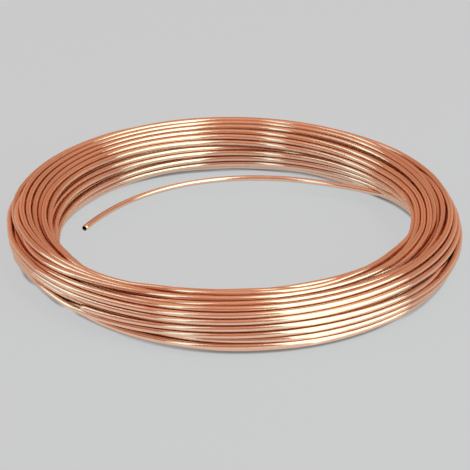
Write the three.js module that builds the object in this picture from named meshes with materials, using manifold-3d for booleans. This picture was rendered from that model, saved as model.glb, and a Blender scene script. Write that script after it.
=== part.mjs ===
// Soft copper tube wound into a flat-lying coil.
// Frame: origin on the coil's axis at floor level, +Z up, millimetres.
// The wound bundle is one turned ring: its section is the outline of the
// packed turns, so every outer turn is a raised bead running round the ring.
// The free inner end springs off the inner layer and crosses the eye of the
// coil; the outer end stops on the outer face. Both are cut square and bored.
import * as THREE from 'three';
import { mergeVertices } from 'three/addons/utils/BufferGeometryUtils.js';
import Module from 'manifold-3d';

// ---- driving dimensions (mm) ----
const TUBE_OD = 6.0;            // outside diameter of the tube
const TUBE_WALL = 0.8;          // wall thickness
const COIL_OD = 470.0;          // over the outermost turn
const EYE_D = 349.0;            // clear eye inside the innermost turn
const COIL_H = 52.0;            // height of the bundle lying on its side
const SECTION_POWER = 3.0;      // squareness of the bundle's rounded section
const RIM_TURNS = 28;           // turns showing round the section's outline
const FOOT_TURNS = 5;           // turns that lie on the floor
const RING_STEPS = 48;          // facets round the ring
const BEAD_ARC = 60;            // half angle of each turn's exposed arc, degrees
const BORE_DEPTH = 14;          // modelled depth of the open bore at each end

// free inner end: an arc about its own centre, level, at this height
const INNER_CX = 32.5;
const INNER_CY = -66.5;
const INNER_Z = 15.7;
const INNER_R = [202.37, -2.14, -10.22, 8.34, 16.31]; // radius, quartic in (angle - 120)/60
const INNER_FROM = 158.8;       // cut end, degrees about the arc's centre
const INNER_TO = 46.0;          // buried in the bundle
const INNER_STEPS = 34;

// outer end: lies on the lower part of the outer face, then sinks in
const OUTER_FROM = 231.0;       // cut end, degrees about the coil's axis
const OUTER_TO = 268.0;
const OUTER_R = 233.4;
const OUTER_SINK = 5.0;
const OUTER_Z = 22.0;
const OUTER_STEPS = 12;
const TUBE_SIDES = 10;

const rad = (d) => (d * Math.PI) / 180;
const R_TUBE = TUBE_OD / 2;
const R_BORE = R_TUBE - TUBE_WALL;
const R_MEAN = (COIL_OD + EYE_D) / 4;
const HALF_W = (COIL_OD - EYE_D) / 4 - R_TUBE; // half width between outer tube centres
const HALF_H = COIL_H / 2 - R_TUBE;            // half height between outer tube centres

const wasm = await Module();
wasm.setup();

// ---- helpers ----
function solid(geometry) {
  const g = geometry.clone();
  g.deleteAttribute('normal');
  g.deleteAttribute('uv');
  const m = mergeVertices(g, 1e-4);
  const vertProperties = new Float32Array(m.attributes.position.array);
  let triVerts = new Uint32Array(m.index.array);
  // drop triangles that merging made degenerate
  const keep = [];
  for (let i = 0; i < triVerts.length; i += 3) {
    const [a, b, c] = [triVerts[i], triVerts[i + 1], triVerts[i + 2]];
    if (a !== b && b !== c && a !== c) keep.push(a, b, c);
  }
  triVerts = new Uint32Array(keep);
  let volume = 0;
  const p = (i) => new THREE.Vector3().fromArray(vertProperties, 3 * i);
  for (let i = 0; i < triVerts.length; i += 3) {
    volume += p(triVerts[i]).dot(p(triVerts[i + 1]).cross(p(triVerts[i + 2]))) / 6;
  }
  if (volume < 0) {
    for (let i = 0; i < triVerts.length; i += 3) {
      const t = triVerts[i + 1];
      triVerts[i + 1] = triVerts[i + 2];
      triVerts[i + 2] = t;
    }
  }
  const made = new wasm.Manifold(new wasm.Mesh({ numProp: 3, vertProperties, triVerts }));
  if (made.status() !== 'NoError') throw new Error('not a closed body: ' + made.status());
  return made;
}

function geometryOf(manifold) {
  const mesh = manifold.getMesh();
  const g = new THREE.BufferGeometry();
  g.setAttribute('position', new THREE.BufferAttribute(new Float32Array(mesh.vertProperties), 3));
  g.setIndex(new THREE.BufferAttribute(new Uint32Array(mesh.triVerts), 1));
  g.computeVertexNormals();
  return g;
}

// ---- section: the turns round the bundle's outline ----
// centres at equal spacing along a rounded-square path, from the foot up the
// outer face, over the top and down the inner face
function rimCentres() {
  const N = 4000;
  const path = [];
  for (let i = 0; i <= N; i++) {
    const t = -Math.PI / 2 + (i / N) * 2 * Math.PI;
    const c = Math.cos(t);
    const s = Math.sin(t);
    const k = Math.pow(
      Math.pow(Math.abs(c) / HALF_W, SECTION_POWER) + Math.pow(Math.abs(s) / HALF_H, SECTION_POWER),
      -1 / SECTION_POWER
    );
    path.push([k * c, k * s]);
  }
  const run = [0];
  for (let i = 1; i <= N; i++) {
    run.push(run[i - 1] + Math.hypot(path[i][0] - path[i - 1][0], path[i][1] - path[i - 1][1]));
  }
  const total = run[N];
  const out = [];
  for (let j = 0; j < RIM_TURNS; j++) {
    const want = (j / RIM_TURNS) * total;
    let i = 0;
    while (run[i + 1] < want) i++;
    const f = (want - run[i]) / (run[i + 1] - run[i]);
    out.push([
      path[i][0] + f * (path[i + 1][0] - path[i][0]),
      path[i][1] + f * (path[i + 1][1] - path[i][1]),
    ]);
  }
  // the foot turns all rest on the floor
  const half = (FOOT_TURNS - 1) / 2;
  for (let j = -half; j <= half; j++) {
    out[(j + RIM_TURNS) % RIM_TURNS][1] = -HALF_H;
  }
  return out;
}

function sectionOutline() {
  const c = rimCentres();
  const n = c.length;
  const points = [];
  const facets = 3;                       // flats across each bead
  for (let j = 0; j < n; j++) {
    const prev = c[(j + n - 1) % n];
    const next = c[(j + 1) % n];
    const foot = Math.abs(c[j][1] + HALF_H) < 1e-6;
    // outward direction of this bead
    let out = Math.atan2(-(next[0] - prev[0]), next[1] - prev[1]);
    if (foot && Math.abs(c[j][0]) < 2.2 * TUBE_OD) out = -Math.PI / 2;
    // the exposed arc opens by the path's own turn on each side
    const a0 = Math.atan2(-(c[j][0] - prev[0]), c[j][1] - prev[1]);
    const a1 = Math.atan2(-(next[0] - c[j][0]), next[1] - c[j][1]);
    const wrap = (x) => Math.atan2(Math.sin(x), Math.cos(x));
    const from = out - rad(BEAD_ARC) + Math.min(0, wrap(a0 - out));
    const to = out + rad(BEAD_ARC) + Math.max(0, wrap(a1 - out));
    // the middle flat is square to the outward direction and touches the bead's circle
    const flat = rad(20);
    const stops = [from, out - flat, out + flat, to];
    for (let i = 0; i < stops.length; i++) {
      const r = i === 1 || i === 2 ? R_TUBE / Math.cos(flat) : R_TUBE;
      points.push(
        new THREE.Vector2(
          R_MEAN + c[j][0] + r * Math.cos(stops[i]),
          COIL_H / 2 + c[j][1] + r * Math.sin(stops[i])
        )
      );
    }
  }
  points.push(points[0].clone());
  return points;
}

const ringGeometry = new THREE.LatheGeometry(sectionOutline(), RING_STEPS);
ringGeometry.rotateX(Math.PI / 2);
ringGeometry.rotateZ(Math.PI);   // a facet corner falls on every axis
let body = solid(ringGeometry);
// stand the ring on the floor whichever way the turning axis came out
{
  const b = body.boundingBox();
  if (b.min[2] < -1) body = body.translate([0, 0, -b.min[2]]);
}

// ---- tube along a curve ----
class Arc extends THREE.Curve {
  constructor(at) {
    super();
    this.at = at;
  }
  getPoint(t, target = new THREE.Vector3()) {
    return target.copy(this.at(t));
  }
}

function tube(curve, radius, steps) {
  const shape = new THREE.Shape();
  for (let i = 0; i < TUBE_SIDES; i++) {
    const a = ((i + 0.5) / TUBE_SIDES) * 2 * Math.PI;
    const x = radius * Math.cos(a);
    const y = radius * Math.sin(a);
    if (i === 0) shape.moveTo(x, y);
    else shape.lineTo(x, y);
  }
  shape.closePath();
  return solid(
    new THREE.ExtrudeGeometry(shape, { steps, extrudePath: curve, bevelEnabled: false, curveSegments: 1 })
  );
}

// free inner end, from its cut end into the bundle
function innerAt(t) {
  const deg = INNER_FROM + t * (INNER_TO - INNER_FROM);
  const q = (deg - 120) / 60;
  const r = INNER_R.reduceRight((sum, c) => sum * q + c, 0);
  return new THREE.Vector3(
    INNER_CX + r * Math.cos(rad(deg)),
    INNER_CY + r * Math.sin(rad(deg)),
    INNER_Z
  );
}
const innerLength = INNER_R[0] * rad(INNER_FROM - INNER_TO);
body = body.add(tube(new Arc(innerAt), R_TUBE, INNER_STEPS));

// outer end, from its cut end until it sinks between its neighbours
function outerAt(t) {
  const deg = OUTER_FROM + t * (OUTER_TO - OUTER_FROM);
  const r = OUTER_R - OUTER_SINK * t * t;
  return new THREE.Vector3(r * Math.cos(rad(deg)), r * Math.sin(rad(deg)), OUTER_Z);
}
const outerLength = OUTER_R * rad(OUTER_TO - OUTER_FROM);
body = body.add(tube(new Arc(outerAt), R_TUBE, OUTER_STEPS));

// the open bores, run a little past the cut so that each mouth is clean
function bore(at, length) {
  const past = -1.0 / length;
  const to = BORE_DEPTH / length;
  return tube(new Arc((t) => at(past + t * (to - past))), R_BORE, 4);
}
body = body.subtract(bore(innerAt, innerLength));
body = body.subtract(bore(outerAt, outerLength));

// ---- scene graph ----
const copper = new THREE.MeshStandardMaterial({
  color: new THREE.Color(0.80, 0.45, 0.29),
  roughness: 0.24,
  metalness: 1.0,
});
const coil = new THREE.Mesh(geometryOf(body), copper);
coil.name = 'tube_coil';

const group = new THREE.Group();
group.name = 'copper_tube_coil';
group.add(coil);

export default group;
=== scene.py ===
"""Looks for a flat-lying coil of soft copper tube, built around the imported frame."""
import math

import bpy
import numpy as np
from mathutils import Matrix, Vector


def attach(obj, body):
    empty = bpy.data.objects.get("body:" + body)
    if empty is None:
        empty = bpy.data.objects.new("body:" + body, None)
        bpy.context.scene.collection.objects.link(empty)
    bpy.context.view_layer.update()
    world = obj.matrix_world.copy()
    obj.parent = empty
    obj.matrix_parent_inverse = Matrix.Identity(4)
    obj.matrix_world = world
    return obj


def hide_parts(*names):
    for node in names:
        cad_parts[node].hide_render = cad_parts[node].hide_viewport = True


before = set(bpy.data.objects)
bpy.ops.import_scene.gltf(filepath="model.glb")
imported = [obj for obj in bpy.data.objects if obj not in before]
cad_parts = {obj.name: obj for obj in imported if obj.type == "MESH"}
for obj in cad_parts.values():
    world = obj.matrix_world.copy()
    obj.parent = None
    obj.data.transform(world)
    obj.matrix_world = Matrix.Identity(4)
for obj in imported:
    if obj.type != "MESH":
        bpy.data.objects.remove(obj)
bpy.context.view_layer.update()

# ---------------------------------------------------------------- sizes, mm
TUBE = 6.0            # outside diameter
WALL = 0.8
BORE = 14.0           # depth of the open bore at each end
R_MEAN = 204.75       # of the bundle
Z_MID = 26.0
HALF_W = 27.25        # between the outermost tube centres, across the bundle
HALF_H = 23.0         # and up it
TURN = 96             # stations to a turn
SIDES = 16
FIRST = 231.2         # azimuth of the outer end, degrees
LAST = 18.0           # azimuth where the last turn leaves for the free end
COUNTS = [7, 7, 7, 7, 7, 7, 7, 6, 5]   # turns in each layer, outside in

# camera: elevation and roll in degrees, distance in mm, focal length in pixels over a 470 wide picture
CAM_EL, CAM_ROLL, CAM_DIST, CAM_FOCAL = 26.2, 0.5, 2046.0, 1978.0

# free inner end: an arc about its own centre, as in the frame
ARC_C = np.array([32.5, -66.5])
ARC_Z = 15.7
ARC_R = (202.37, -2.14, -10.22, 8.34, 16.31)
ARC_CUT = 158.8
ARC_ROOT = 46.0

# Where the turns that show run. Each row is one turn: its number from the outer
# end, the azimuth where it comes to the surface, then every 10 degrees its
# distance in mm across the bundle, square to the view from 26 degrees up on the
# -Y side (outwards is positive), and how much of its width shows.
SEEN = (
    (0, 230, [17.2, 15.3, 12.0, 9.3, 7.8, 7.6, 7.8, 8.8, 11.3, 15.5, 20.1, 25.4],
     [1.0, 1.0, 1.0, 1.27, 1.37, 1.23, 1.25, 1.21, 1.01, 0.62, 0.54, 0.62]),
    (1, 200, [22.8, 20.8, 18.9],
     [0.7, 0.9, 0.8]),
    (1, 250, [21.6, 21.0, 20.5, 20.3, 20.9, 21.5, 22.1, 22.7, 26.0],
     [0.55, 0.82, 1.18, 1.23, 1.09, 0.99, 0.72, 0.84, 0.51]),
    (2, 231, [21.5, 20.1, 17.3, 15.8, 14.4, 14.0, 14.6, 15.5, 17.1, 18.8, 23.1],
     [0.87, 0.94, 0.9, 0.91, 0.85, 0.88, 1.01, 1.02, 0.93, 0.47, 0.46]),
    (3, 200, [24.4, 20.1, 16.8, 13.9, 11.0, 8.1],
     [0.9, 0.79, 0.78, 0.77, 0.75, 0.44]),
    (3, 310, [7.6, 11.9, 16.4, 21.7, 26.2],
     [0.24, 0.58, 0.68, 0.63, 0.59]),
    (4, 200, [18.9, 16.5, 12.4, 9.1, 6.5, 5.1, 3.5, 2.1, 1.7, 1.4, 2.2, 3.9, 7.5, 12.0, 17.8, 22.2],
     [0.9, 0.4, 0.68, 0.82, 0.75, 0.58, 0.64, 0.52, 0.75, 0.88, 0.99, 0.96, 0.89, 0.82, 0.65, 0.73]),
    (5, 210, [14.1, 8.6, 4.7, 1.3, -0.0, -2.0, -3.1, -4.2, -4.6, -4.0, -2.3, 0.9, 5.6, 12.0, 17.8, 24.4],
     [0.41, 0.57, 0.66, 0.68, 1.12, 1.19, 1.22, 1.23, 1.12, 1.07, 1.12, 1.3, 1.3, 1.29, 0.75, 0.66]),
    (6, 210, [8.3, 1.9, -3.5, -5.7, -6.2, -8.3, -9.4, -10.5, -10.5, -9.7, -8.3, -6.2, -1.6, 4.6, 13.5, 19.8],
     [0.48, 0.78, 1.08, 0.73, 0.93, 0.91, 0.86, 0.85, 0.85, 0.86, 0.87, 1.06, 1.1, 1.19, 0.7, 0.88]),
    (7, 180, [29.5, 17.7, 12.0],
     [0.84, 0.7, 0.65]),
    (8, 210, [11.3, 5.6, 1.2, -2.1],
     [0.51, 0.44, 0.5, 0.46]),
    (12, 250, [25.1, 26.1, 26.8, 27.0, 27.0, 27.1, 27.1, 28.0, 29.2],
     [0.62, 0.88, 0.94, 1.01, 0.95, 0.89, 0.93, 0.91, 0.56]),
    (18, 240, [-10.0, -11.6, -13.5, -14.4, -15.3, -15.4, -14.9, -13.4, -11.3, -6.4],
     [0.7, 0.87, 0.82, 0.8, 0.77, 0.79, 0.86, 0.85, 0.63, 0.49]),
    (19, 180, [23.9, 13.6, 8.0, 0.7, -5.8, -13.4, -20.3],
     [1.02, 0.66, 0.67, 1.07, 0.73, 0.67, 0.87]),
    (19, 350, [0.6, 10.2, 18.8, 23.6, 26.1, 26.8, 26.9],
     [1.07, 0.55, 0.67, 0.66, 0.59, 0.66, 0.63]),
    (20, 170, [24.6, 18.9, 9.8, 2.4, -5.1, -10.3, -17.9],
     [0.72, 0.67, 0.59, 1.22, 0.87, 0.76, 0.83]),
    (20, 330, [-9.6, -6.1, -4.6, 5.5, 13.4, 18.4, 21.2, 22.3, 22.4, 23.7, 24.1, 23.0, 24.4, 23.0, 22.7, 22.8, 23.3, 23.4, 23.0, 21.7, 18.6, 13.1, 4.2, -4.1, -9.6, -14.0],
     [0.56, 0.8, 0.66, 1.02, 1.12, 1.08, 1.04, 0.84, 0.85, 0.76, 0.77, 0.98, 0.88, 0.66, 0.82, 0.91, 0.96, 1.09, 1.12, 1.24, 1.3, 1.26, 1.27, 0.92, 0.63, 0.49]),
    (21, 340, [-1.4, 7.6, 14.5, 23.3, 28.3],
     [0.79, 1.27, 0.88, 0.84, 0.89]),
    (33, 200, [11.0, 3.6, -2.0, -9.1, -14.9, -16.7, -18.9, -20.1, -20.6, -21.2, -20.3, -19.2, -18.5, -18.2, -18.3, -15.8, -6.5, -0.4, 3.9, 5.8, 7.2, 8.5, 11.4, 10.8, 11.7, 13.3, 13.1, 12.8, 13.2, 13.4, 13.4, 11.9, 10.2, 6.7, 1.3, -5.4],
     [0.7, 1.0, 1.0, 0.77, 0.92, 0.82, 0.97, 1.1, 1.01, 1.14, 0.95, 1.08, 0.6, 0.76, 0.77, 0.75, 0.74, 0.98, 1.08, 1.01, 0.8, 0.7, 0.97, 1.25, 1.13, 0.86, 0.9, 0.92, 0.91, 0.85, 0.97, 0.86, 0.87, 0.89, 0.9, 0.64]),
    (34, 320, [-14.9, -13.6, -12.3, -10.1, -0.9, 6.3, 11.1, 14.8, 16.6, 16.9, 17.8, 18.2, 17.6, 18.8, 18.4, 17.9, 18.0, 18.2, 18.2, 17.1, 15.4, 12.0, 6.7, -1.5, -8.2],
     [0.58, 0.77, 1.25, 1.15, 1.12, 1.26, 1.33, 1.1, 1.06, 1.01, 1.19, 1.2, 0.83, 0.98, 0.88, 0.77, 0.69, 0.76, 0.64, 0.86, 0.87, 0.89, 0.88, 0.64, 0.45]),
    (47, 310, [-24.9, -22.4, -22.0, -22.6, -20.2, -11.6, -6.7, -2.8, -0.2, 1.7, 3.3, 5.0, 4.6, 5.9, 7.7, 7.7, 7.5, 7.7, 7.9, 7.9, 6.6, 4.4, 0.6, -4.6, -10.1, -13.8],
     [0.83, 0.7, 0.53, 0.65, 0.73, 0.97, 1.12, 1.14, 0.99, 1.04, 1.05, 1.15, 0.82, 0.83, 1.0, 0.88, 0.88, 0.91, 0.98, 0.86, 0.9, 1.07, 1.14, 1.09, 0.92, 0.5]),
    (48, 250, [-21.6, -25.0, -26.7, -27.2, -27.9, -27.9, -29.1, -28.3, -27.4, -26.6, -25.0, -16.3, -12.4, -9.2, -5.7, -3.8, -3.0, -2.3, -1.0, -0.2, 0.8, 0.9, 2.1, 2.5, 2.4, 2.1, 0.6, -1.8, -6.2, -10.1, -16.0, -17.8, -18.9],
     [0.84, 1.08, 1.13, 1.16, 1.1, 1.03, 0.88, 1.28, 1.25, 0.67, 0.88, 0.62, 0.79, 1.01, 0.86, 0.78, 1.03, 1.3, 1.05, 1.18, 1.3, 1.39, 0.9, 0.85, 0.85, 1.08, 1.08, 1.0, 1.12, 0.76, 1.05, 0.82, 0.87]),
    (50, 110, [-2.0, -1.8, -2.1, -2.8, -4.3, -6.4],
     [0.49, 0.58, 0.66, 0.58, 0.58, 0.53]),
    (51, 120, [-15.4, -16.1, -16.6, -17.8, -19.1, -21.0, -23.4, -24.5],
     [0.61, 0.57, 0.49, 0.58, 0.62, 0.58, 0.45, 0.54]),
    (54, 40, [-23.7, -25.2, -25.6, -27.1],
     [0.84, 1.18, 1.11, 0.88]),
    (55, 30, [-19.0, -18.9, -19.3, -20.1, -21.4, -22.4, -23.4, -23.8, -24.1, -24.6, -25.6, -26.4],
     [0.86, 0.77, 0.79, 0.72, 1.01, 1.01, 1.07, 1.03, 1.08, 1.0, 0.76, 0.49]),
    (56, 30, [-14.4, -14.0, -14.2, -15.8, -15.8, -16.4, -16.9, -17.6, -18.3, -19.5, -20.6, -21.5, -22.6, -23.6, -24.9, -26.0],
     [0.67, 0.88, 0.9, 0.72, 0.88, 0.99, 1.11, 1.05, 0.86, 0.72, 0.92, 1.15, 1.01, 0.87, 0.75, 0.43]),
    (57, 0, [-20.5, -16.8, -14.8, -10.4, -8.8, -8.8, -10.6, -10.8, -10.9, -10.1, -11.1, -10.7, -11.1, -11.8, -12.0, -12.9, -14.4, -16.5, -19.2, -21.0],
     [0.76, 0.65, 0.84, 0.68, 0.88, 0.9, 0.98, 0.77, 0.84, 1.13, 1.09, 0.8, 0.82, 0.87, 1.02, 1.06, 0.94, 0.89, 0.95, 0.63]),
    (58, 70, [-6.3, -6.0, -4.9, -5.6, -5.9, -6.1, -6.6, -6.8, -7.9, -9.8, -11.7, -14.4],
     [0.73, 0.77, 0.62, 0.77, 0.8, 0.85, 0.85, 0.73, 0.61, 0.6, 0.72, 0.66]),
)
# Where one turn passes under another: turn, from and to azimuth, and how hard it is pressed in.
CROSS = ((49, 205, 237, 0.6), (48, 205, 237, -0.3), (1, 222, 262, 0.5), (0, 224, 262, -0.4),
         (33, 196, 222, -0.5))
# The bundle's outline in the same measure, every 10 degrees from azimuth 0.
EDGE_OUT = (29.8, 28.6, 30.8, 31, 31, 30, 29.6, 30, 29.8, 30.2, 30.5, 30, 29.8, 31, 31.2, 32, 32, 32, 31.5, 27.3,
            26.5, 23.8, 24.9, 24.2, 27.2, 28.6, 29.4, 30.4, 30.8, 30.6, 30.3, 30, 31.8, 30.3, 30, 31.6)
EDGE_IN = (-19.5, -16.5, -17.4, -20.8, -25.2, -27.5, -26, -26.2, -28, -28.4, -29.2, -28.8, -29, -30.5, -31.2, -31.1,
           -30.9, -29.7, -27.7, -23.2, -19.5, -21, -18.5, -19.8, -22.3, -26.2, -29.4, -31, -31.6, -31.8, -31.5, -32,
           -31.8, -31, -26.8, -25.1)


def arc_point(deg):
    """Centre of the free end's tube at an angle about the arc's own centre."""
    deg = np.asarray(deg, float)
    q = (deg - 120.0) / 60.0
    r = sum(c * q ** k for k, c in enumerate(ARC_R))
    a = np.radians(deg)
    return np.stack([ARC_C[0] + r * np.cos(a), ARC_C[1] + r * np.sin(a), np.full_like(r, ARC_Z)], -1)


# ---------------------------------------------------------------- winding
# Everything here is in cylinder coordinates (r, z) at equal steps of azimuth:
# pos[station, turn] is a tube centre, and the end of a turn is the start of the next.
AZ = np.arange(TURN) * 360.0 / TURN


def across():
    """How far a step in r and in z moves a tube across the view at each station, and the way to the camera in the section's plane."""
    e = math.radians(CAM_EL)
    ce, se = math.cos(e), math.sin(e)

    def seen(th, r, z):
        t = np.radians(th)
        x, y, h = r * np.cos(t), r * np.sin(t), z - Z_MID
        depth = CAM_DIST - (-y * ce + h * se)
        return np.stack([CAM_FOCAL * x / depth, -CAM_FOCAL * (y * se + h * ce) / depth], -1), depth

    c, depth = seen(AZ, R_MEAN, Z_MID)
    t = seen(AZ + 0.5, R_MEAN, Z_MID)[0] - seen(AZ - 0.5, R_MEAN, Z_MID)[0]
    t /= np.linalg.norm(t, axis=1)[:, None]
    n = np.stack([t[:, 1], -t[:, 0]], -1)
    out = seen(AZ, R_MEAN + 5, Z_MID)[0] - c
    n *= np.sign((n * out).sum(1))[:, None]
    px = CAM_FOCAL / depth
    al = ((seen(AZ, R_MEAN + 1, Z_MID)[0] - seen(AZ, R_MEAN - 1, Z_MID)[0]) / 2 * n).sum(1) / px
    be = ((seen(AZ, R_MEAN, Z_MID + 1)[0] - seen(AZ, R_MEAN, Z_MID - 1)[0]) / 2 * n).sum(1) / px
    ln = np.hypot(al, be)
    dr, dz = -be / ln, al / ln
    s = np.sign(dr * -np.sin(np.radians(AZ)) * ce + dz * se)
    return al, be, ln, dr * s, dz * s


AL, BE, LN, DR, DZ = across()
TEN = np.arange(0, 361, 10.0)
OUT = np.interp(AZ, TEN, EDGE_OUT + EDGE_OUT[:1]) - TUBE / 2
IN = np.interp(AZ, TEN, EDGE_IN + EDGE_IN[:1]) + TUBE / 2
ST = np.arange(TURN)[:, None, None]


def level_wound():
    """Turns laid in upright layers from the outside in, as a winder lays them."""
    out = []
    for j, c in enumerate(COUNTS):
        r = 26.2 - 52.4 * j / (len(COUNTS) - 1)
        half = 22.3 * (1 - 0.28 * abs(r / 26.2) ** 3)
        zs = np.linspace(-half, half, c)
        out += [(R_MEAN + r, Z_MID + z) for z in (zs[::-1] if j % 2 else zs)]
    s = np.array(out)
    f = (np.arange(TURN) / TURN)[:, None, None]
    return s[None] * (1 - f) + np.vstack([s[1:], s[-1:]])[None] * f


def smooth(pos, k):
    """The tube is stiff: each station is drawn towards the middle of its neighbours along the tube."""
    line = pos.transpose(1, 0, 2).reshape(-1, 2)
    m = line.copy()
    m[1:-1] = (line[:-2] + line[2:]) / 2
    pos += k * (m.reshape(pos.shape[1], TURN, 2).transpose(1, 0, 2) - pos)


def near(pos, alive, k=9):
    """Each turn's nearest other turns at its own station."""
    n = pos.shape[1]
    dl = pos[:, None].astype(np.float32) - pos[:, :, None].astype(np.float32)
    d2 = (dl ** 2).sum(-1)
    d2[:, np.arange(n), np.arange(n)] = 1e9
    d2[~(alive[:, None, :] & alive[:, :, None])] = 1e9
    return np.argsort(d2, axis=2, kind="stable")[:, :, :k]


def touch(pos, nb, alive, mob, d, times, gain):
    """Turns closer than d push each other apart."""
    share = mob[:, :, None] / (mob[:, :, None] + mob[ST, nb]) * alive[:, :, None] * alive[ST, nb] * gain * 0.55
    for _ in range(times):
        dl = pos[ST, nb] - pos[:, :, None]
        dist = np.sqrt((dl ** 2).sum(-1)) + 1e-6
        pos -= ((np.clip(d - dist, 0, None) * share / dist)[..., None] * dl).sum(2)


def outline(pos):
    """The bundle's rounded section, and its measured edges."""
    x, y = (pos[..., 0] - R_MEAN) / HALF_W, (pos[..., 1] - Z_MID) / HALF_H
    w = np.clip((np.abs(x) ** 3.6 + np.abs(y) ** 3.6) ** (1 / 3.6), 1, None)
    pos[..., 0], pos[..., 1] = R_MEAN + x / w * HALF_W, Z_MID + y / w * HALF_H
    q = AL[:, None] * (pos[..., 0] - R_MEAN) + BE[:, None] * (pos[..., 1] - Z_MID)
    over = np.clip(q - OUT[:, None], 0, None) + np.clip(q - IN[:, None], None, 0)
    pos[..., 0] -= over * (AL / LN ** 2)[:, None]
    pos[..., 1] -= over * (BE / LN ** 2)[:, None]


def wind(iters):
    pos = level_wound()
    n = pos.shape[1]
    alive = np.ones((TURN, n), bool)
    alive[AZ < FIRST - 3.0, 0] = False
    alive[AZ > LAST + 6.0, -1] = False
    K, I, Q, W, O = [], [], [], [], []
    shown = np.zeros((TURN, n), bool)
    mob = np.ones((TURN, n))
    for turn, th, q, cover in SEEN:
        t = th + 10.0 * np.arange(len(q))
        st = np.arange(int(np.ceil(t[0] * TURN / 360 - 1e-6)), int(np.floor(t[-1] * TURN / 360 + 1e-6)) + 1)
        at = st * 360.0 / TURN
        ramp = np.clip((np.minimum(np.arange(len(st)), np.arange(len(st))[::-1]) + 1) / 4, 0, 1)
        cov = np.interp(at, t, cover)
        k, i = st % TURN, turn + st // TURN
        K.append(k), I.append(i), Q.append(np.interp(at, t, q)), W.append(ramp)
        O.append(np.clip((cov - 0.5) / 0.4, 0, 1) * ramp)
        shown[k, i] = True
        mob[k, i] = 1 - 0.65 * ramp * np.clip((cov - 0.4) / 0.4, 0.2, 1)
    K, I, Q, W, O = (np.concatenate(v) for v in (K, I, Q, W, O))

    dip = np.zeros((TURN, n))
    for turn, lo, hi, push in CROSS:
        dip[:, turn] += push * np.clip(np.minimum(AZ - lo, hi - AZ) / 6.0, 0, 1)
    for it in range(iters):
        f = it / iters
        for _ in range(4):
            smooth(pos, 0.5)
        q = AL[K] * (pos[K, I, 0] - R_MEAN) + BE[K] * (pos[K, I, 1] - Z_MID)
        dq = np.clip(Q - q, -5, 5) * 0.9 * W / LN[K] ** 2
        out = 0.6 * O * (1 if f < 0.9 else 0.4)
        pos[K, I, 0] += dq * AL[K] + out * DR[K]
        pos[K, I, 1] += dq * BE[K] + out * DZ[K]
        # the turns that don't show lie deeper
        dep = (pos[..., 0] - R_MEAN) * DR[:, None] + (pos[..., 1] - Z_MID) * DZ[:, None]
        back = np.where(shown, 0, np.clip(0.03 * (dep + 20), 0, 0.5)) * (1 if f < 0.85 else 0.2)
        back += dip * (1 if f < 0.9 else 0.5)
        pos[..., 0] -= back * DR[:, None]
        pos[..., 1] -= back * DZ[:, None]
        if it % 4 == 0:
            nb = near(pos, alive)
        touch(pos, nb, alive, mob, 6.03 if f > 0.5 else 2.0 + 8.06 * f, 4 if f > 0.5 else 2, 1.0)
        outline(pos)
    for it in range(50):
        if it % 4 == 0:
            nb = near(pos, alive)
        if it < 40:
            smooth(pos, 0.5)
        touch(pos, nb, alive, mob if it < 26 else np.ones_like(mob), TUBE + 0.04, 5, 0.9)
        outline(pos)
    dl = pos[:, None] - pos[:, :, None]
    dist = np.sqrt((dl ** 2).sum(-1)) + 100 * np.eye(n)[None] + 100 * ~(alive[:, None] & alive[:, :, None])
    q = AL[K] * (pos[K, I, 0] - R_MEAN) + BE[K] * (pos[K, I, 1] - Z_MID)
    print("winding: %d turns, closest %.2f mm, %d pairs under 5.8, off the seen line %.2f mm rms, r %.1f..%.1f z %.1f..%.1f" % (
        n, dist.min(), (dist < 5.8).sum() / 2, np.sqrt(((q - Q) ** 2).mean()),
        pos[..., 0].min(), pos[..., 0].max(), pos[..., 1].min(), pos[..., 1].max()))
    return pos


def centre_line():
    pos = wind(260)
    n = pos.shape[1]
    line = pos.transpose(1, 0, 2).reshape(-1, 2)
    az = np.arange(len(line)) * 360.0 / TURN
    keep = (az > FIRST + 0.5) & (az <= 360.0 * (n - 1) + LAST)
    cut = [np.interp(FIRST, az, line[:, k]) for k in (0, 1)]
    a, line = np.radians(np.append(FIRST, az[keep])), np.vstack([cut, line[keep]])
    pts = np.stack([line[:, 0] * np.cos(a), line[:, 0] * np.sin(a), line[:, 1]], -1)
    tail = arc_point(np.linspace(ARC_ROOT, ARC_CUT, 45))
    # the last turn bends smoothly into the free arc
    p0, t0 = pts[-1], pts[-1] - pts[-2]
    p1, t1 = tail[0], tail[1] - tail[0]
    t0 /= np.linalg.norm(t0)
    t1 /= np.linalg.norm(t1)
    span = np.linalg.norm(p1 - p0)
    k = max(3, int(span / 10))
    u = (np.arange(1, k) / k)[:, None]
    h = ((2 * u ** 3 - 3 * u ** 2 + 1) * p0 + (u ** 3 - 2 * u ** 2 + u) * span * t0
         + (-2 * u ** 3 + 3 * u ** 2) * p1 + (u ** 3 - u ** 2) * span * t1)
    return np.vstack([pts, h, tail])


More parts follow.
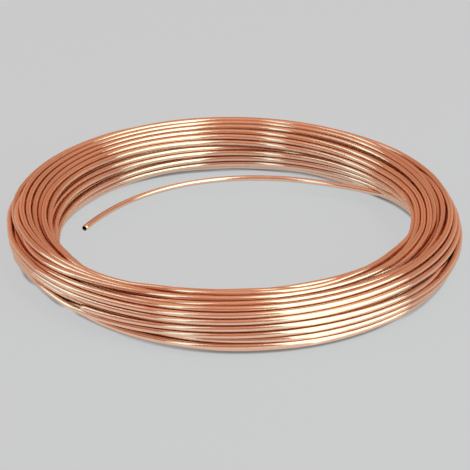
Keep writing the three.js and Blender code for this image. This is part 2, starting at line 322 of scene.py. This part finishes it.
# ---------------------------------------------------------------- tube
def tube_mesh(name, line):
    """One hollow-ended tube swept along line, in millimetres."""
    seg = np.linalg.norm(np.diff(line, axis=0), axis=1)
    run = np.concatenate([[0], np.cumsum(seg)])
    tan = np.gradient(line, axis=0)
    tan /= np.linalg.norm(tan, axis=1)[:, None]
    side = np.cross(tan, (0, 0, 1.0))
    side /= np.linalg.norm(side, axis=1)[:, None]
    top = np.cross(side, tan)
    a = np.arange(SIDES) * 2 * math.pi / SIDES
    ring = np.cos(a)[None, :, None] * side[:, None] + np.sin(a)[None, :, None] * top[:, None]
    R = TUBE / 2
    ro = R - WALL
    M = len(line)
    bead = 0.15                                    # edge broken by the cutter
    t0, t1 = tan[0], -tan[-1]
    # the last value of each ring, here and at the far end, is painted shade: 1 down the bore, less on the cut rim round
    # its mouth
    first = [(line[0] + t0 * BORE, ro, 0, BORE, 1), (line[0] + t0 * BORE / 2, ro, 0, BORE / 2, 1),
             (line[0] + t0 * 2.0, ro, 0, 2.0, 1), (line[0] + t0 * bead, ro, 0, bead, 0.6),
             (line[0], ro + bead, 0, 0, 0.5), (line[0], R - bead, 0, 0, 0.2), (line[0] + t0 * bead, R, 0, bead, 0)]
    body = [(line[i], R, i, run[i], 0) for i in range(1, M - 1)]
    last = [(line[-1] + t1 * b, r, M - 1, run[-1] - b, dark) for b, r, dark in (
        (bead, R, 0), (0, R - bead, 0.2), (0, ro + bead, 0.5), (bead, ro, 0.6), (2.0, ro, 1), (BORE / 2, ro, 1), (BORE, ro, 1))]
    rings = first + body + last
    n = len(rings)
    co = np.vstack([c + r * ring[i] for c, r, i, _, _ in rings]) * 1e-3
    j = np.arange(SIDES)
    jj = (j + 1) % SIDES
    k = np.arange(n - 1)[:, None] * SIDES
    quads = np.stack([k + j, k + jj, k + SIDES + jj, k + SIDES + j], -1).reshape(-1, 4)
    faces = quads.tolist()
    faces.append(list(range(SIDES))[::-1])
    faces.append([(n - 1) * SIDES + i for i in range(SIDES)])
    me = bpy.data.meshes.new(name)
    me.from_pydata(co.tolist(), [], faces)
    # outward faces
    me.update()
    p = me.polygons[len(first) * SIDES + 3]
    c = Vector((line[1] * 1e-3).tolist())
    if (p.center - c).dot(p.normal) < 0:
        me.flip_normals()
    me.validate()
    for name_, values in (("along", [v[3] * 1e-3 for v in rings]), ("bore_and_rim_shade", [v[4] for v in rings])):
        at = me.attributes.new(name_, "FLOAT", "POINT")
        at.data.foreach_set("value", np.repeat(np.array(values, np.float32), SIDES))
    at = me.attributes.new("turned", "FLOAT", "POINT")      # degrees round the tube as a cosine and sine, so that it has no seam
    at.data.foreach_set("value", np.tile(np.cos(a), n).astype(np.float32))
    at = me.attributes.new("turned2", "FLOAT", "POINT")
    at.data.foreach_set("value", np.tile(np.sin(a), n).astype(np.float32))
    at = me.attributes.new("lay", "FLOAT_VECTOR", "POINT")  # the way the tube was drawn
    at.data.foreach_set("vector", np.repeat(np.vstack([tan[v[2]] for v in rings]), SIDES, 0).astype(np.float32).ravel())
    smooth_ = np.ones(len(me.polygons), bool)
    for r in (4, n - 6):                                     # the cut faces are flat
        smooth_[r * SIDES:(r + 1) * SIDES] = False
    smooth_[-2:] = False
    me.polygons.foreach_set("use_smooth", smooth_)
    # one strip of the texture sheet for each turn
    uv = me.uv_layers.new(name="OFBake")
    rows = int(np.ceil(n / TURN))
    k = np.arange(n - 1)
    u0 = (k % TURN) / TURN
    row = k // TURN
    U, V = [], []
    for c in range(SIDES):
        v0, v1 = c / SIDES, (c + 1) / SIDES
        lo = (row + 0.02 + 0.96 * v0) / rows
        hi = (row + 0.02 + 0.96 * v1) / rows
        U.append(np.stack([u0, u0, u0 + 1 / TURN, u0 + 1 / TURN], -1))
        V.append(np.stack([lo, hi, hi, lo], -1))
    U, V = np.stack(U, 1).reshape(-1, 4), np.stack(V, 1).reshape(-1, 4)
    loops = np.empty((len(me.loops), 2), np.float32)
    vert = np.empty(len(me.loops), np.int32)
    me.loops.foreach_get("vertex_index", vert)
    start = np.empty(len(me.polygons), np.int32)
    me.polygons.foreach_get("loop_start", start)
    for corner in range(4):
        # a face's corners can start anywhere after a flip, so each is matched to its own vertex
        li = start[:len(quads)] + corner
        which = (vert[li][:, None] == quads).argmax(1)
        loops[li, 0] = U[np.arange(len(quads)), which]
        loops[li, 1] = V[np.arange(len(quads)), which]
    for q_, cx in ((0, 0.3), (1, 0.6)):
        li = start[len(quads) + q_] + np.arange(SIDES)
        loops[li, 0] = cx + 0.0005 * np.cos(a)
        loops[li, 1] = 0.0005 + 0.0004 * np.sin(a)
    uv.data.foreach_set("uv", loops.ravel())
    ob = bpy.data.objects.new(name, me)
    bpy.context.scene.collection.objects.link(ob)
    print("tube length %.2f m, %d triangles" % (run[-1] / 1000, 2 * len(quads) + 2 * (SIDES - 2)))
    return ob


coil = tube_mesh("copper_tube", centre_line())


# ---------------------------------------------------------------- copper
def copper():
    """Bright drawn copper: die lines along the tube, soft handling marks, and painted shade where the turns touch:
    darker, redder copper in the grooves and dark brown, duller metal in the contact lines.
    """
    m = bpy.data.materials.new("drawn_copper")
    m.use_nodes = True
    nt = m.node_tree
    nt.nodes.clear()

    def node(kind, **values):
        nd = nt.nodes.new(kind)
        for k, v in values.items():
            if k in nd.inputs:
                nd.inputs[k].default_value = v
            else:
                setattr(nd, k, v)
        return nd

    def link(a, b):
        nt.links.new(a, b)

    def math_(op, a, b):
        nd = node("ShaderNodeMath", operation=op)
        for i, v in enumerate((a, b)):
            if isinstance(v, (int, float)):
                nd.inputs[i].default_value = v
            else:
                link(v, nd.inputs[i])
        return nd.outputs[0]

    def attr(name):
        return node("ShaderNodeAttribute", attribute_name=name).outputs["Fac"]

    def ramp(fac, *stops):
        nd = node("ShaderNodeValToRGB")
        e = nd.color_ramp.elements
        while len(e) < len(stops):
            e.new(0.5)
        for el, (at, c) in zip(e, stops):
            el.position = at
            el.color = (*c, 1)
        link(fac, nd.inputs["Fac"])
        return nd.outputs["Color"]

    def mix(fac, a, b, blend="MIX"):
        nd = node("ShaderNodeMix", data_type="RGBA", blend_type=blend)
        for sock, v in ((nd.inputs[0], fac), (nd.inputs[6], a), (nd.inputs[7], b)):
            if isinstance(v, (int, float)):
                sock.default_value = v
            elif isinstance(v, tuple):
                sock.default_value = (*v, 1)
            else:
                link(v, sock)
        return nd.outputs[2]

    out = node("ShaderNodeOutputMaterial")
    b = node("ShaderNodeBsdfPrincipled", Metallic=1.0)
    link(b.outputs[0], out.inputs[0])
    # the die lines spread a reflection round the tube and leave it sharp along it
    b.inputs["Anisotropic"].default_value = LAY
    b.inputs["Anisotropic Rotation"].default_value = 0.25
    link(node("ShaderNodeAttribute", attribute_name="lay").outputs["Vector"], b.inputs["Tangent"])

    # coordinates that run with the tube
    run = attr("along")
    lines = node("ShaderNodeCombineXYZ")
    link(math_("MULTIPLY", run, 7.0), lines.inputs[0])
    link(math_("MULTIPLY", attr("turned"), 9.0), lines.inputs[1])
    link(math_("MULTIPLY", attr("turned2"), 9.0), lines.inputs[2])
    die = node("ShaderNodeTexNoise", Scale=1.0, Detail=3.0, Roughness=0.6)
    link(lines.outputs[0], die.inputs["Vector"])
    marks_at = node("ShaderNodeCombineXYZ")
    link(math_("MULTIPLY", run, 60.0), marks_at.inputs[0])
    link(math_("MULTIPLY", attr("turned"), 1.2), marks_at.inputs[1])
    link(math_("MULTIPLY", attr("turned2"), 1.2), marks_at.inputs[2])
    marks = node("ShaderNodeTexNoise", Scale=1.0, Detail=2.0, Roughness=0.5)
    link(marks_at.outputs[0], marks.inputs["Vector"])
    tc = node("ShaderNodeTexCoord")
    cloud = node("ShaderNodeTexNoise", Scale=9.0, Detail=3.0)
    link(tc.outputs["Object"], cloud.inputs["Vector"])

    tone = ramp(cloud.outputs["Fac"], (0.32, BASE_A), (0.68, BASE_B))
    tone = mix(ramp(die.outputs["Fac"], (0.35, (0, 0, 0)), (0.75, (1, 1, 1))), tone,
               mix(1.0, tone, (0.90, 0.86, 0.82), "MULTIPLY"))
    tone = mix(math_("MULTIPLY", ramp(marks.outputs["Fac"], (0.60, (0, 0, 0)), (0.78, (1, 1, 1))), 0.35), tone,
               (0.62, 0.27, 0.15))
    # painted shade: deep between the turns the copper is darkened and reddened, and in the contact lines it is painted
    # dark brown, where the turns shade each other
    ao = node("ShaderNodeAmbientOcclusion", samples=8, only_local=True)
    ao.inputs["Distance"].default_value = 0.0045
    crevice_shade = ramp(ao.outputs["AO"], (CREVICE_SHADE[0], (1, 1, 1)), (CREVICE_SHADE[1], (0, 0, 0)))
    tone = mix(math_("MULTIPLY", crevice_shade, CREVICE_SHADE[2]), tone, CREVICE_SHADE_COLOUR)
    contact_shade = ramp(ao.outputs["AO"], (CONTACT_SHADE[0], (1, 1, 1)), (CONTACT_SHADE[1], (0, 0, 0)))
    tone = mix(math_("MULTIPLY", contact_shade, CONTACT_SHADE[2]), tone, CONTACT_SHADE_COLOUR)
    # painted shade: the bore and the cut rim are darkened to near black, where the hole is in shadow
    tone = mix(attr("bore_and_rim_shade"), tone, (0.010, 0.006, 0.004))
    link(tone, b.inputs["Base Color"])

    rough = math_("MULTIPLY_ADD", cloud.outputs["Fac"], 0.07)
    rough.node.inputs[2].default_value = ROUGH
    rough = math_("ADD", rough, math_("MULTIPLY", contact_shade, 0.22))
    rough = math_("ADD", rough, math_("MULTIPLY", attr("bore_and_rim_shade"), 0.5))
    link(rough, b.inputs["Roughness"])
    link(math_("SUBTRACT", 1.0, math_("MULTIPLY", contact_shade, DULL)), b.inputs["Metallic"])
    b.inputs["Specular Tint"].default_value = EDGE

    bump = node("ShaderNodeBump", Strength=0.25, Distance=0.00006)
    link(die.outputs["Fac"], bump.inputs["Height"])
    bump2 = node("ShaderNodeBump", Strength=0.3, Distance=0.0003)
    link(marks.outputs["Fac"], bump2.inputs["Height"])
    link(bump.outputs[0], bump2.inputs["Normal"])
    link(bump2.outputs[0], b.inputs["Normal"])
    return m


LAY = 1.0
BASE_A, BASE_B = (0.93, 0.67, 0.53), (0.96, 0.72, 0.58)
# painted crevice shade: occlusion where it is full, where it ends, and its strength
CREVICE_SHADE = (0.25, 0.85, 0.70)
CREVICE_SHADE_COLOUR = (0.76, 0.24, 0.13)
CONTACT_SHADE = (0.08, 0.46, 0.92)          # occlusion where the painted contact shade is full, where it ends, and its strength
CONTACT_SHADE_COLOUR = (0.35, 0.045, 0.014)
DULL = 0.45                        # how far the painted contact shade takes the metal's mirror away
ROUGH = 0.12
EDGE = (1.0, 0.78, 0.64, 1.0)      # tint of the shine near grazing
coil.data.materials.append(copper())
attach(coil, "root")
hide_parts("tube_coil")


# ---------------------------------------------------------------- floor
def floor():
    me = bpy.data.meshes.new("floor")
    s = 9.0
    me.from_pydata([(-s, -s, 0), (s, -s, 0), (s, s, 0), (-s, s, 0)], [], [(0, 1, 2, 3)])
    ob = bpy.data.objects.new("floor", me)
    bpy.context.scene.collection.objects.link(ob)
    m = bpy.data.materials.new("pale_floor")
    m.use_nodes = True
    nt = m.node_tree
    b = nt.nodes["Principled BSDF"]
    b.inputs["Roughness"].default_value = 0.9
    b.inputs["Specular IOR Level"].default_value = 0.0
    n = nt.nodes.new("ShaderNodeTexNoise")
    n.inputs["Scale"].default_value = 3.0
    r = nt.nodes.new("ShaderNodeValToRGB")
    r.color_ramp.elements[0].color = (*(v - 0.01 for v in FLOOR), 1)
    r.color_ramp.elements[1].color = (*FLOOR, 1)
    nt.links.new(n.outputs["Fac"], r.inputs["Fac"])
    nt.links.new(r.outputs["Color"], b.inputs["Base Color"])
    b.inputs["Emission Color"].default_value = (*GLOW, 1)    # lit from below, as a light table is
    shade = nt.nodes.new("ShaderNodeAmbientOcclusion")       # painted contact shadow: the glow fades where the coil rests on it
    shade.samples = 16
    shade.inputs["Distance"].default_value = 0.0032
    nt.links.new(shade.outputs["AO"], b.inputs["Emission Strength"])
    me.materials.append(m)
    return ob


FLOOR, GLOW = (0.10, 0.10, 0.10), (0.518, 0.529, 0.542)
floor()


# ---------------------------------------------------------------- light
def area(name, location, facing, w, h, radiance, colour=(1, 1, 1), up="Y"):
    """A softbox: its middle, the way it faces, its size in metres and its brightness."""
    L = bpy.data.lights.new(name, "AREA")
    L.shape = "RECTANGLE"
    L.size, L.size_y = w, h
    L.energy = radiance * math.pi * w * h
    L.color = colour
    o = bpy.data.objects.new(name, L)
    o.location = location
    o.rotation_euler = (-Vector(facing)).to_track_quat("Z", up).to_euler()
    bpy.context.scene.collection.objects.link(o)
    return o


def panel(name, azimuth, half_w, bottom, top, radiance, colour=(1, 1, 1), distance=5.0):
    """A softbox standing upright, given by its azimuth, half its width in degrees and the elevations of its edges, as seen from the coil."""
    a = math.radians(azimuth)
    lo, hi = (distance * math.tan(math.radians(v)) for v in (bottom, top))
    w = 2 * distance * math.tan(math.radians(half_w))
    d = Vector((math.cos(a), math.sin(a), 0))
    return area(name, d * distance + Vector((0, 0, 0.02 + (lo + hi) / 2)), -d, w, hi - lo, radiance, colour)


def bounce(name, x0, x1, y0, y1, radiance, colour=(1, 1, 1), z=0.0012):
    """A bright card lying on the floor, out of the camera's sight; edges in metres."""
    o = area(name, ((x0 + x1) / 2, (y0 + y1) / 2, z), (0, 0, 1), x1 - x0, y1 - y0, radiance, colour)
    o.rotation_euler = (math.pi, 0, 0)
    o.visible_camera = False
    return o


def surround(colour, front, back):
    """The room: its colour, then for its -Y and +Y sides pairs of the sine of the elevation and the brightness there."""
    world = bpy.data.worlds.new("studio")
    bpy.context.scene.world = world
    world.use_nodes = True
    nt = world.node_tree
    tc = nt.nodes.new("ShaderNodeTexCoord")
    sep = nt.nodes.new("ShaderNodeSeparateXYZ")
    half = nt.nodes.new("ShaderNodeMath")
    half.operation = "MULTIPLY_ADD"
    half.inputs[1].default_value = half.inputs[2].default_value = 0.5
    nt.links.new(tc.outputs["Generated"], sep.inputs[0])
    nt.links.new(sep.outputs["Z"], half.inputs[0])
    side = nt.nodes.new("ShaderNodeMapRange")
    side.interpolation_type = "SMOOTHSTEP"
    side.inputs["From Min"].default_value = -0.35
    side.inputs["From Max"].default_value = 0.45
    nt.links.new(sep.outputs["Y"], side.inputs["Value"])
    mix = nt.nodes.new("ShaderNodeMix")
    mix.data_type = "RGBA"
    nt.links.new(side.outputs["Result"], mix.inputs[0])
    for socket, rows in ((6, front), (7, back)):
        ramp = nt.nodes.new("ShaderNodeValToRGB")
        e = ramp.color_ramp.elements
        while len(e) < len(rows):
            e.new(0.5)
        for el, (at, v) in zip(e, rows):
            el.position = (at + 1) / 2
            el.color = (*(v * c for c in colour), 1)
        nt.links.new(half.outputs[0], ramp.inputs["Fac"])
        nt.links.new(ramp.outputs["Color"], mix.inputs[socket])
    nt.links.new(mix.outputs[2], nt.nodes["Background"].inputs[0])
    nt.nodes["Background"].inputs[1].default_value = 1.0


KEY = (0.57, 0.93, 0.88)
COOL = (0.46, 0.93, 0.98)
ROOM = (1.0, 0.555, 0.385)
panel("key", -35, 32, 1, 80, 2.1, KEY, 1.6)
panel("strip", -119, 6, 2, 70, 1.45, COOL)
panel("window", 176, 12, 6, 66, 1.45, COOL)
bounce("card_front", -1.2, 1.2, -1.2, -0.16, 0.18, ROOM, 0.0008)
bounce("card_key", 0.08, 1.2, -1.3, -0.22, 1.0, KEY)
bounce("card_eye", 0.0, 0.11, -0.13, 0.04, 0.7, KEY)
surround(ROOM, ((-1.0, 0.5), (-0.04, 0.58), (0.04, 0.40), (0.62, 0.41), (0.80, 0.74), (1.0, 0.80)),
         ((-1.0, 0.5), (0.0, 0.72), (0.32, 0.69), (0.41, 0.47), (0.55, 0.50), (0.80, 0.78), (1.0, 0.82)))
bpy.context.scene.view_settings.view_transform = "Standard"


# ---------------------------------------------------------------- camera
def camera():
    e, roll = math.radians(CAM_EL), math.radians(CAM_ROLL)
    cam = bpy.data.cameras.new("camera")
    cam.sensor_width = 36.0
    cam.lens = CAM_FOCAL / 470 * 36.0
    ob = bpy.data.objects.new("camera", cam)
    back = Vector((0, -math.cos(e), math.sin(e)))
    right, up = Vector((1, 0, 0)), Vector((0, math.sin(e), math.cos(e)))
    ob.location = Vector((0, 0, Z_MID / 1000)) + back * CAM_DIST / 1000
    # the right side of the coil sits a little low
    r2 = right * math.cos(roll) + up * math.sin(roll)
    u2 = up * math.cos(roll) - right * math.sin(roll)
    ob.rotation_euler = Matrix((r2, u2, back)).transposed().to_euler()
    cam.shift_x = 0.8 / 470
    cam.shift_y = -11.5 / 470
    bpy.context.scene.collection.objects.link(ob)
    bpy.context.scene.camera = ob


camera()
